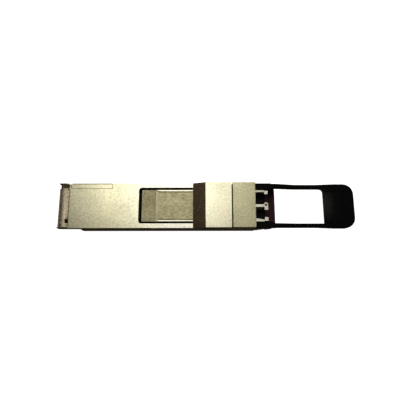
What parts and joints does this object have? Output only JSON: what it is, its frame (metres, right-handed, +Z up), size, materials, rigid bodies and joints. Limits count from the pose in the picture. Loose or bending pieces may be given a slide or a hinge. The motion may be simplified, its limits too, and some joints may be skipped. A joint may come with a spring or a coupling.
{
  "type": "optical transceiver module",
  "caption": "Pluggable optical transceiver module: metal body with a sloped electrical end and a raised head, duplex receptacle and black pull tab that slides to release it.",
  "frame": {"origin": "centre of the bounding box in X and Y, on the plane of the module's underside", "axes": "+X from the electrical end to the pull tab, +Y to the module's left, +Z up through the face with the window"},
  "size_m": [0.1196, 0.0184, 0.0104],
  "materials": {
    "nickel_casting": "satin nickel-plated zinc die casting",
    "nickel_cover": "satin nickel-plated zinc, slightly greyer",
    "nickel_receptacle": "bright nickel-plated zinc",
    "nickel_plate": "brushed nickel-plated copper plate",
    "spring_steel": "rolled stainless steel",
    "black_plastic": "fine-grained moulded polymer",
    "black_rubber": "conductive elastomer",
    "label_foil": "blank matt silver film",
    "board_laminate": "green solder mask on glass-epoxy laminate",
    "gold_plating": "hard gold plating",
    "package_gold": "gold-plated optical package",
    "chip_resin": "moulded resin",
    "ferrite": "moulded ferrite",
    "ceramic": "fired ceramic",
    "thermal_pad": "soft filled silicone",
    "polyimide": "amber polyimide film",
    "zirconia": "polished white ceramic"
  },
  "bodies": {
    "housing": {"top_shell": "nickel_casting", "bottom_shell": "nickel_casting", "head_cover": "nickel_cover", "lc_receptacle": "nickel_receptacle", "seam_gasket": "black_rubber", "window_gasket": "black_rubber", "heat_spreader": "nickel_plate", "blank_label": "label_foil", "circuit_board": "board_laminate", "edge_contacts_top": "gold_plating", "edge_contacts_bottom": "gold_plating", "transmit_retimer": "chip_resin", "receive_retimer": "chip_resin", "laser_driver": "chip_resin", "microcontroller": "chip_resin", "power_inductor_1": "ferrite", "power_inductor_2": "ferrite", "capacitor_1": "ceramic", "capacitor_2": "ceramic", "capacitor_3": "ceramic", "capacitor_4": "ceramic", "transmitter_package": "package_gold", "receiver_package": "package_gold", "transmitter_barrel": "spring_steel", "receiver_barrel": "spring_steel", "transmitter_sleeve": "zirconia", "receiver_sleeve": "zirconia", "transmitter_fibre_stub": "zirconia", "receiver_fibre_stub": "zirconia", "transmitter_flex": "polyimide", "receiver_flex": "polyimide", "transmitter_thermal_pad": "thermal_pad", "receiver_thermal_pad": "thermal_pad", "spreader_thermal_pad": "thermal_pad", "port_shield": "spring_steel", "housing_screw_1": "spring_steel", "housing_screw_2": "spring_steel", "housing_screw_3": "spring_steel", "housing_screw_4": "spring_steel", "head_screw_1": "spring_steel", "head_screw_2": "spring_steel", "head_screw_3": "spring_steel", "head_screw_4": "spring_steel", "return_spring_left": "spring_steel", "return_spring_right": "spring_steel"},
    "release": {"latch_slider": "spring_steel", "pull_tab": "black_plastic", "tab_rivet_left": "spring_steel", "tab_rivet_right": "spring_steel"}
  },
  "joints": [
    {"name": "release_slide", "type": "slide", "parent": "housing", "child": "release", "axis": [1, 0, 0], "range_m": [0, 0.002], "stiffness_N_per_m": 600, "springref_m": -0.001, "deforming": ["return_spring_left", "return_spring_right"]}
  ]
}
